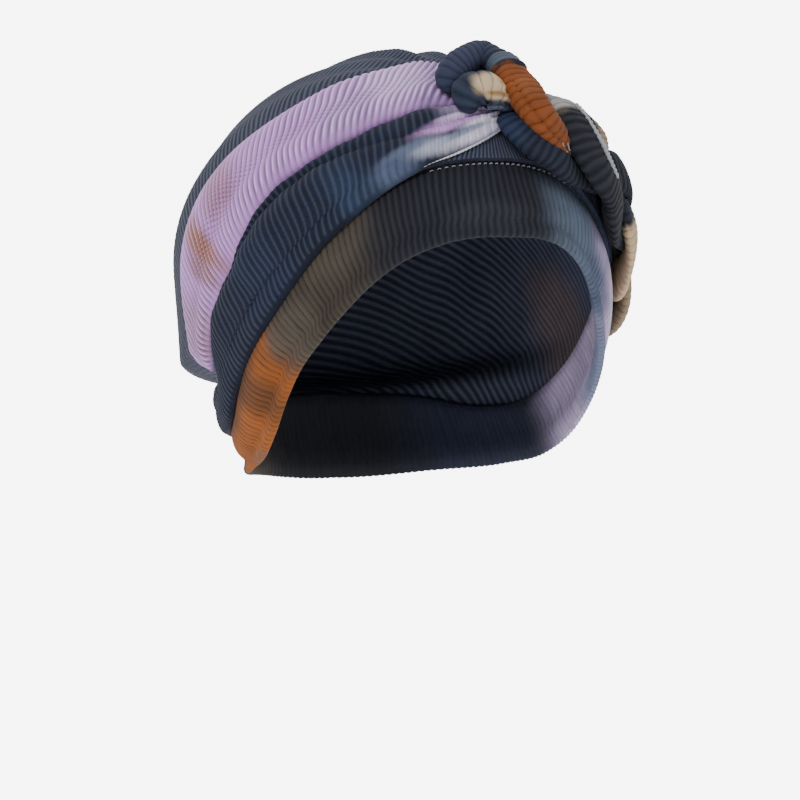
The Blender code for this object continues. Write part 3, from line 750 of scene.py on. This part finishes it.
def mix(tree, share, a, b, blend="MIX"):
    """Mix of two sockets or colours."""
    node = add(tree, "Mix", {"data_type": "RGBA", "blend_type": blend})
    for title, value in (("Factor_Float", share), ("A_Color", a), ("B_Color", b)):
        feed(tree, value, next(s for s in node.inputs if s.identifier == title))
    return next(s for s in node.outputs if s.identifier == "Result_Color")


def smooth(tree, value, start, end):
    """Smooth step of a value, nought at the start and one at the end."""
    settings = {"interpolation_type": "SMOOTHSTEP"}
    return add(tree, "MapRange", settings, Value=value, From_Min=start, From_Max=end).outputs[0]


def noise(tree, place, scale, detail, roughness=0.5):
    """Noise between nought and one at a place."""
    node = add(tree, "TexNoise", Vector=place, Scale=scale, Detail=detail, Roughness=roughness)
    return node.outputs[0]


def cloth_map(tree, name):
    """Coordinates of one of a piece's two maps, cloth or ribs."""
    return add(tree, "UVMap", {"uv_map": name}).outputs[0]


def in_object(tree):
    """Coordinates in the object's own space."""
    return add(tree, "TexCoord").outputs["Object"]


def dye_group():
    """Soft-edged patch of dye: an oval on the cloth coordinates, with an uneven edge."""
    tree, given, result = new_group("dye patch", {
        "Base": "Color", "Dye": "Color", "Middle": "Vector", "Reach": "Vector", "Turn": "Float",
        "Soft": "Float", "Amount": "Float",
    }, {"Color": "Color"})
    gap = vectors(tree, "SUBTRACT", cloth_map(tree, "cloth"), given["Middle"])
    part = vectors(tree, "DIVIDE", gap, given["Reach"])
    turn = add(tree, "VectorRotate", {"rotation_type": "Z_AXIS"}, Vector=part, Angle=given["Turn"])
    uneven = maths(tree, "SUBTRACT", noise(tree, in_object(tree), 75.0, 3.0), 0.5)
    far = maths(tree, "ADD", vectors(tree, "LENGTH", turn.outputs[0]), maths(tree, "MULTIPLY", uneven, 0.6))
    inner = maths(tree, "SUBTRACT", 1.0, given["Soft"])
    outer = maths(tree, "ADD", 1.0, given["Soft"])
    mask = maths(tree, "MULTIPLY", smooth(tree, far, outer, inner), given["Amount"])
    feed(tree, mix(tree, mask, given["Base"], given["Dye"]), result[0])
    return tree


def height_group():
    """Ribs' height, and the share of it that is in the material only.

    It is the surface's own height. Where that is below nought, it is round cords worked out from the
    rib coordinates."""
    tree, _, result = new_group("rib height", {}, {"Height": "Float", "Flat cloth": "Float"})
    high = add(tree, "Attribute", {"attribute_name": "height"}).outputs["Fac"]
    split = add(tree, "SeparateXYZ", Vector=cloth_map(tree, "ribs"))
    away = maths(tree, "SUBTRACT", maths(tree, "FRACT", split.outputs[0]), 0.5)
    fall = maths(tree, "MULTIPLY", maths(tree, "MULTIPLY", away, away), 3.9)
    cord = maths(tree, "SQRT", maths(tree, "SUBTRACT", 1.0, fall))
    flat = maths(tree, "LESS_THAN", high, -0.5)
    drawn = maths(tree, "MULTIPLY", cord, flat)
    raised = maths(tree, "MULTIPLY", high, maths(tree, "SUBTRACT", 1.0, flat))
    feed(tree, maths(tree, "MAXIMUM", maths(tree, "ADD", drawn, raised), 0.0), result[0])
    feed(tree, drawn, result[1])
    return tree


def painted_rib_light_group():
    """Painted shade in the grooves and painted highlights on the crests, by the ribs' height."""
    tree, given, result = new_group("painted rib shade and highlight", {
        "Color": "Color", "Height": "Float", "Groove": "Float", "Crest": "Float", "Crest colour": "Color",
    }, {"Color": "Color"})
    # Painted shade: the grooves are mixed toward black
    groove = maths(tree, "MULTIPLY", smooth(tree, given["Height"], 0.80, 0.0), given["Groove"])
    dark = mix(tree, groove, given["Color"], (0, 0, 0, 1))
    # Painted highlight: the crests are mixed toward a pale crest colour
    crest = maths(tree, "MULTIPLY", smooth(tree, given["Height"], 0.82, 1.0), given["Crest"])
    feed(tree, mix(tree, crest, dark, given["Crest colour"]), result[0])
    return tree


def mottle_group():
    """Uneven dye: light and dark clouds, and streaks that run along the ribs."""
    tree, given, result = new_group("mottle", {"Color": "Color", "Amount": "Float"}, {"Color": "Color"})
    clouds = noise(tree, in_object(tree), 45.0, 5.0, 0.6)
    along_ribs = vectors(tree, "MULTIPLY", cloth_map(tree, "ribs"), (0.9, 0.10, 1.0))
    streaks = maths(tree, "SUBTRACT", noise(tree, along_ribs, 1.0, 2.0), 0.5)
    both = maths(tree, "ADD", clouds, maths(tree, "MULTIPLY", streaks, 0.9))
    swing = maths(tree, "MULTIPLY", maths(tree, "SUBTRACT", both, 0.5), given["Amount"])
    factor = maths(tree, "ADD", 1.0, maths(tree, "MULTIPLY", swing, 2.0))
    tint = add(tree, "CombineColor", Red=factor, Green=factor, Blue=factor)
    feed(tree, mix(tree, 1.0, given["Color"], tint.outputs[0], "MULTIPLY"), result[0])
    return tree


def knit_group():
    """Height of the fine knit on the ribs."""
    tree, _, result = new_group("fine knit", {}, {"Height": "Float"})
    grown = vectors(tree, "MULTIPLY", cloth_map(tree, "ribs"), (5.0, 3.0, 1.0))
    feed(tree, noise(tree, grown, 1.0, 2.0), result[0])
    return tree


DYE, HEIGHT, PAINTED_RIB_LIGHT, MOTTLE, KNIT = dye_group(), height_group(), painted_rib_light_group(), mottle_group(), knit_group()


def place_group(tree, group, **values):
    """Outputs of a group node with values or links for its named inputs."""
    return add(tree, "Group", {"node_tree": group}, **values).outputs


def rgb(text):
    """Linear colour from a six-digit screen colour."""
    v = np.array([int(text[k:k + 2], 16) for k in (0, 2, 4)]) / 255
    v = np.where(v < 0.04045, v / 12.92, ((v + 0.055) / 1.055) ** 2.4)
    return (*[float(x) for x in v], 1.0)


def plain_material(name, **values):
    """Material with values on its shader's named sockets, and the shader."""
    material = bpy.data.materials.new(name)
    material.use_nodes = True
    shader = material.node_tree.nodes["Principled BSDF"]
    for title, value in values.items():
        shader.inputs[title.replace("_", " ")].default_value = value
    return material, shader


def cloth_material(name, colour, patches, groove, crest, painted_highlight_colour, mottle=0.35):
    """Dyed jersey: a base colour, patches of dye, clouds, painted shade in the rib grooves with painted
    highlights on the rib crests, and a fine knit.
    """
    material, shader = plain_material(name, Base_Color=rgb(colour), Roughness=0.78, Sheen_Weight=0.03,
                                      Sheen_Roughness=0.5, Specular_IOR_Level=0.20)
    tree = material.node_tree
    out = rgb(colour)
    for along, over, wide, tall, soft, dye, amount, *turn in patches:
        out = place_group(tree, DYE, Base=out, Dye=rgb(dye), Middle=(along, over, 0), Reach=(wide, tall, 1),
                          Turn=float(np.radians(sum(turn))), Soft=soft, Amount=amount)[0]
    out = place_group(tree, MOTTLE, Color=out, Amount=mottle)[0]
    high, drawn = place_group(tree, HEIGHT)
    # Painted shade in the rib grooves and painted highlights on the rib crests
    out = place_group(tree, PAINTED_RIB_LIGHT, Color=out, Height=high, Groove=groove, Crest=crest,
                      Crest_colour=rgb(painted_highlight_colour))[0]
    feed(tree, out, shader.inputs["Base Color"])
    relief = maths(tree, "ADD", place_group(tree, KNIT)[0], maths(tree, "MULTIPLY", drawn, 2.5))
    bump = add(tree, "Bump", Strength=0.35, Distance=0.0003, Height=relief)
    feed(tree, bump.outputs[0], shader.inputs["Normal"])
    return material


# Patches of dye, columns: place along and across, reach along and across, softness, colour, amount, any turn
CROWN_DYE = [
    (-1.2, 0.8, 0.5, 0.5, 0.5, "3a4058", 1.0),
    (-1.0, 1.05, 0.25, 0.12, 0.4, "5a4a46", 0.8),
    (-0.3, 0.6, 0.3, 0.5, 0.6, "2b3040", 0.8),
    (0.9, 0.7, 0.5, 0.4, 0.6, "23283a", 0.9),
    (1.6, 1.1, 0.6, 0.4, 0.6, "6b5a80", 0.6),
]
BAND_DYE = [
    (-1.25, 0.5, 0.8, 2.5, 0.35, "3a322b", 1.0),
    (-0.78, 0.5, 0.3, 2.0, 0.2, "8c4c18", 1.0, 8),
    (-0.8, 0.8, 0.2, 0.25, 0.4, "5a381c", 0.8),
    (-0.7, 0.5, 0.045, 0.6, 0.6, "4a2f16", 0.7, 20),
    (-0.885, 0.03, 0.05, 0.12, 0.4, "7a5238", 0.9),
    (-0.445, 0.5, 0.13, 2.0, 0.45, "352e26", 1.0, 10),
    (-0.53, 0.35, 0.07, 0.4, 0.5, "4c443a", 0.8, 30),
    (-0.36, 0.7, 0.07, 0.3, 0.5, "4a4338", 0.7),
    (-0.02, 0.5, 0.26, 2.5, 0.45, "14161f", 1.0),
    (-0.05, 0.25, 0.1, 0.15, 0.6, "262830", 0.6),
    (0.22, 0.45, 0.1, 2.0, 0.55, "465160", 1.0),
    (0.25, 0.25, 0.05, 0.4, 0.6, "4c586a", 0.7),
    (0.37, 0.6, 0.08, 0.45, 0.5, "8a81a0", 1.0),
    (0.36, 0.15, 0.1, 0.25, 0.5, "465066", 1.0),
    (0.68, 0.3, 0.25, 0.9, 0.35, "a99bbb", 1.0),
    (0.56, 0.02, 0.14, 0.1, 0.5, "5d6884", 0.9),
    (0.46, 0.78, 0.09, 0.4, 0.5, "b9adc4", 1.0),
    (1.3, 0.5, 0.4, 2.5, 0.5, "23273a", 1.0),
    (1.8, 0.5, 0.3, 2.5, 0.5, "1b1c23", 1.0),
    (-1.8, 0.5, 0.3, 2.5, 0.5, "1b1c23", 1.0),
]
LILAC_DYE = [
    (0.14, 0.4, 0.1, 0.8, 0.5, "a585bc", 1.0),
    (0.3, 0.55, 0.1, 0.4, 0.6, "ccb4de", 0.8),
    (0.46, 0.3, 0.08, 0.3, 0.6, "a78dbd", 0.7),
    (0.92, 0.62, 0.1, 0.3, 0.5, "a87a9c", 0.9),
    (1.14, 0.45, 0.07, 0.4, 0.55, "9a6a4e", 0.9),
    (1.24, 0.35, 0.05, 0.3, 0.55, "8f6a58", 0.7),
    (1.55, 0.5, 0.16, 1.0, 0.5, "a27fa2", 0.9),
]
NAVY_DYE = [
    (0.1, 0.5, 0.2, 1.2, 0.5, "b3a0c6", 1.0),
    (0.3, 0.12, 0.16, 0.1, 0.6, "c9c4d8", 0.9),
    (0.22, 0.3, 0.1, 0.1, 0.5, "e4e0ee", 0.9),
    (0.34, 0.22, 0.12, 0.06, 0.6, "6f7890", 0.8),
    (0.32, 0.48, 0.15, 0.12, 0.5, "bd8fcc", 0.95),
    (0.26, 0.62, 0.1, 0.05, 0.5, "dcc6ea", 0.8),
    (0.47, 0.22, 0.07, 0.12, 0.7, "a9aec2", 0.8),
    (0.52, 0.34, 0.08, 0.08, 0.7, "5d6880", 0.8),
    (0.6, 0.12, 0.07, 0.22, 0.7, "465068", 0.9),
    (0.72, 0.2, 0.06, 0.5, 0.6, "222e44", 0.8),
    (1.1, 0.4, 0.1, 0.5, 0.6, "161e32", 0.8),
    (1.75, 0.3, 0.2, 0.8, 0.5, "14192a", 0.8),
]
RUST_DYE = [
    (0.12, 0.25, 0.27, 2.0, 0.16, "292f44", 1.0),
    (0.43, 0.25, 0.045, 2.0, 0.12, "4a5563", 1.0),
    (0.7, 0.25, 0.22, 2.0, 0.06, "763c12", 1.0),
    (0.84, 0.14, 0.06, 0.25, 0.5, "6e3a1a", 0.6),
    (0.62, 0.2, 0.05, 0.1, 0.6, "84502a", 0.4),
    (1.25, 0.25, 0.34, 2.0, 0.1, "10151f", 1.0),
    (1.82, 0.25, 0.24, 2.0, 0.15, "b89f80", 1.0),
    (2.5, 0.25, 0.4, 2.0, 0.2, "2a2a38", 1.0),
]
STRAND_NAVY_DYE = [
    (0.05, 0.25, 0.1, 2.0, 0.5, "1e2b45", 0.8),
    (0.8, 0.25, 0.45, 2.0, 0.2, "0f141e", 1.0),
    (1.55, 0.25, 0.3, 2.0, 0.15, "8c7b62", 1.0),
    (1.75, 0.95, 0.12, 0.3, 0.4, "5a4038", 0.9),
    (2.4, 0.25, 0.4, 2.0, 0.3, "5a4a55", 1.0),
]
BEIGE_DYE = [
    (0.1, 0.5, 0.2, 2.0, 0.2, "1c2538", 1.0),
    (0.16, 0.2, 0.075, 0.14, 0.3, "b8a283", 1.0),
    (0.17, 0.13, 0.05, 0.035, 0.5, "7d5a30", 0.9),
    (0.2, 0.24, 0.03, 0.04, 0.5, "93713f", 0.8),
    (0.12, 0.97, 0.08, 0.1, 0.4, "44505f", 1.0),
    (0.45, 0.25, 0.12, 2.0, 0.4, "7c7e84", 1.0),
    (0.64, 0.25, 0.06, 2.0, 0.4, "9c9a98", 1.0),
    (1.05, 0.25, 0.36, 2.0, 0.08, "11141e", 1.0),
    (0.8, 0.33, 0.1, 0.05, 0.4, "8d7a62", 0.9),
    (1.6, 0.25, 0.18, 2.0, 0.3, "3a3236", 1.0),
    (2.0, 0.25, 0.2, 2.0, 0.3, "6e5a4e", 1.0),
]

# Columns: what makes the cloth, whether its grid wraps both ways, material, base colour, patches,
# depth of the painted shade in the grooves, strength and colour of the painted highlights on the crests, any
# other unevenness of the dye
CLOTHS = {
    "crown": (crown_cloth, False, "crown cloth", "262b3b", CROWN_DYE, 0.65, 0.30, "6d7288"),
    "forehead_band": (band_cloth, True, "band cloth", "1b1c23", BAND_DYE, 0.85, 0.08, "5c5d68"),
    "lilac_wrap": (lilac_cloth, False, "lilac cloth", "bd8cd2", LILAC_DYE, 0.55, 0.50, "efd5fb", 0.25),
    "navy_wrap": (navy_cloth, False, "navy cloth", "121828", NAVY_DYE, 0.65, 0.25, "4e5872"),
    "braid_strand_rust": (0, False, "rust cloth", "141a28", RUST_DYE, 0.75, 0.05, "5a6078"),
    "braid_strand_navy": (1, False, "blue cloth", "121827", STRAND_NAVY_DYE, 0.75, 0.10, "4d5670"),
    "braid_strand_beige": (2, False, "beige cloth", "50493f", BEIGE_DYE, 0.75, 0.04, "8a8a90"),
}
for node, (make, closed, *look) in CLOTHS.items():
    points, cloth, ribs, height = make() if callable(make) else strand_cloth(make)
    piece = build(node + "_cloth", points, closed, cloth, ribs, height)
    belongs(piece, node, cloth_material(*look))

# Threads
THREAD, _ = plain_material("white thread", Base_Color=rgb("8e9098"), Roughness=0.7)
HEM_THREAD, _ = plain_material("pale thread", Base_Color=rgb("c4c6d0"), Roughness=0.8)
SEAM_THREAD, _ = plain_material("grey thread", Base_Color=rgb("8f9298"), Roughness=0.8)

# Seam stitches: stations from, to and step, and a stitch's length, in degrees; share across the band
STITCH_STATIONS = (-17.0, 21.0, 1.6)
STITCH_LONG = 0.66
STITCH_SHARE = 0.84
STITCH_RADIUS = 0.0002
# A stitch's height over the band along its length, in metres: it dives in at both ends
STITCH_ARC = (-0.0003, 0.0003, 0.00045, 0.0003, -0.0003)
# Rows of the band's section that are on its outer face
OUTER_ROWS = 19
# Runs of the edge on the third strand, and stations of the navy wrap's hem
EDGE_RUNS = (0.067, 0.101)
HEM_STATIONS = (0.9, 5.2)
# Loose threads at the first strand's tip, columns: run, place round it, length
LOOSE_THREADS = ((0.0845, 0.11, 0.0042), (0.0865, 0.15, 0.0030), (0.0905, 0.10, 0.0035))


def band_line(station, share, lift):
    """Points on the band's outer face at stations, a share across and a height above it."""
    outer = np.array(BAND_SECTION[:OUTER_ROWS])
    q = np.interp(share, outer[:, 1], outer[:, 0])
    p = band_point((station + 180) / 360, q)
    return p + unit(p) * lift


for number, station in enumerate(np.arange(*STITCH_STATIONS)):
    along = np.linspace(station, station + STITCH_LONG, len(STITCH_ARC))
    line = band_line(along, STITCH_SHARE, np.array(STITCH_ARC)[:, None])
    stitch = tube(f"seam_stitch_{number + 1}", line, STITCH_RADIUS, 6)
    belongs(stitch, "forehead_band", THREAD, False)

runs = np.linspace(*EDGE_RUNS, 60)
edge = strand_base(2, runs, 0.245 + 0.02 * np.sin(runs * 160))
edge = edge + unit(edge) * 0.0004
size = 0.0010 + 0.00025 * np.sin(np.arange(60) * 1.9)
belongs(tube("overlocked_edge", edge, size), "braid_strand_beige", SEAM_THREAD, False)

stations = np.linspace(*HEM_STATIONS, 90)
fringe, _ = on_crown(across(NAVY, stations, 0.012), 0.0016)
thinning = 0.25 + 0.75 * ease((HEM_STATIONS[1] - stations) / 1.8)
size = (0.0007 + 0.0002 * np.sin(np.arange(90) * 2.1)) * thinning
hem_piece = belongs(tube("overlocked_hem", fringe, size), "navy_wrap", HEM_THREAD, False)

for number, (run, place, reach) in enumerate(LOOSE_THREADS):
    t = np.linspace(0, 1, 9)
    bit = strand_base(0, run + reach * t, place - 0.05 * np.sin(t * 2.2))
    bit = bit + 0.0005 * np.sin(np.pi * t)[:, None]
    belongs(tube(f"loose_thread_{number + 1}", bit, 0.00028, 6), "braid_strand_rust", THREAD, False)

# Studio, in metres: the floor's level, half its size, its end behind the turban, the radius of its
# upward curve and the wall above that
FLOOR_LEVEL = -0.34
FLOOR_REACH = 30
FLOOR_BACK = 2
FLOOR_CURVE = 1.5
FLOOR_WALL = 5
# Brightness of the floor and of the air round it, and what the camera sees in addition
FLOOR_GLOW = 0.55
WORLD_GLOW = 0.42
SEEN_GLOW = 6.0

# Soft lights, columns: name, place, aim, size, power
LIGHTS = (
    ("key", (-1.3, -1.6, 1.5), (0, 0, 0.02), 1.1, 38),
    ("fill", (1.6, -1.3, 0.5), (0, 0, 0), 1.4, 12),
    ("top", (0.1, 0.3, 1.9), (0, 0, 0), 1.2, 14),
)

# Camera: heading and angle above level in degrees, distance in metres, and where the hollow's middle
# lies in the picture, in pixels right of and above its centre
VIEW_HEADING = -25.0
VIEW_ANGLE = 2.0
VIEW_DISTANCE = 1.4
PIXELS_PER_METRE = 2300
PIXELS_RIGHT = 7
PIXELS_UP = 130


def to_camera_too(tree, glow, slot):
    """A glow that is brighter where the camera sees it, so that the backdrop is pale."""
    seen = add(tree, "LightPath").outputs["Is Camera Ray"]
    feed(tree, maths(tree, "MULTIPLY_ADD", seen, SEEN_GLOW, glow), slot)


def studio_floor():
    """Floor: level under the turban, a quarter round behind it, then a wall.

    The quarter round is a sine along and one less a cosine up, at even steps."""
    columns, rows = 3, 40
    side = np.linspace(-FLOOR_REACH, FLOOR_REACH, columns)
    u, v = np.meshgrid(side, np.linspace(0, 1, rows), indexing="ij")
    turn = (v - 0.5) * np.pi
    level = -FLOOR_REACH + 2 * (FLOOR_REACH + FLOOR_BACK) * v
    y = np.where(v < 0.5, level, FLOOR_BACK + FLOOR_CURVE * np.sin(turn))
    z = np.where(v < 0.5, 0, FLOOR_CURVE * (1 - np.cos(turn))) + FLOOR_LEVEL
    corners = np.stack([u, y, z + np.where(v > 0.99, FLOOR_WALL, 0)], -1).reshape(-1, 3)
    a, b = np.meshgrid(np.arange(columns - 1), np.arange(rows - 1), indexing="ij")
    first = (a * rows + b).ravel()
    faces = np.stack([first, first + rows, first + rows + 1, first + 1], 1)
    mesh = bpy.data.meshes.new("floor")
    mesh.from_pydata(corners.tolist(), [], faces.tolist())
    mesh.shade_smooth()
    material, shader = plain_material("pale floor", Base_Color=(0.86, 0.86, 0.86, 1), Roughness=0.9,
                                      Emission_Color=(1, 1, 1, 1))
    to_camera_too(material.node_tree, FLOOR_GLOW, shader.inputs["Emission Strength"])
    mesh.materials.append(material)
    floor = bpy.data.objects.new("floor", mesh)
    bpy.context.scene.collection.objects.link(floor)
    return floor


def area_light(name, place, aim, size, power):
    """Square soft light aimed at a point."""
    lamp = bpy.data.lights.new(name, "AREA")
    lamp.size = size
    lamp.energy = power
    item = bpy.data.objects.new(name, lamp)
    bpy.context.scene.collection.objects.link(item)
    item.location = place
    item.rotation_euler = (Vector(place) - Vector(aim)).to_track_quat("Z", "Y").to_euler()


def studio_world():
    """Even white air all round."""
    world = bpy.data.worlds.new("studio")
    world.use_nodes = True
    air = world.node_tree.nodes["Background"]
    air.inputs[0].default_value = (1, 1, 1, 1)
    to_camera_too(world.node_tree, WORLD_GLOW, air.inputs[1])
    return world


def view_camera():
    """Camera on a line from the turban's middle, moved aside to place it as in the picture."""
    back = direction(VIEW_HEADING, VIEW_ANGLE)
    right = direction(VIEW_HEADING + 90, 0.0)
    up = np.cross(back, right)
    aside = right * (PIXELS_RIGHT / PIXELS_PER_METRE) + up * (PIXELS_UP / PIXELS_PER_METRE)
    eye = back * VIEW_DISTANCE - aside
    lens = bpy.data.cameras.new("camera")
    lens.lens = 144.9
    lens.sensor_width = 36.0
    lens.clip_start = 0.05
    camera = bpy.data.objects.new("camera", lens)
    bpy.context.scene.collection.objects.link(camera)
    turn = Matrix((right.tolist(), up.tolist(), back.tolist())).transposed()
    camera.matrix_world = Matrix.Translation(Vector(eye.tolist())) @ turn.to_4x4()
    return camera


studio_floor()
for light in LIGHTS:
    area_light(*light)
bpy.context.scene.world = studio_world()
bpy.context.scene.camera = view_camera()
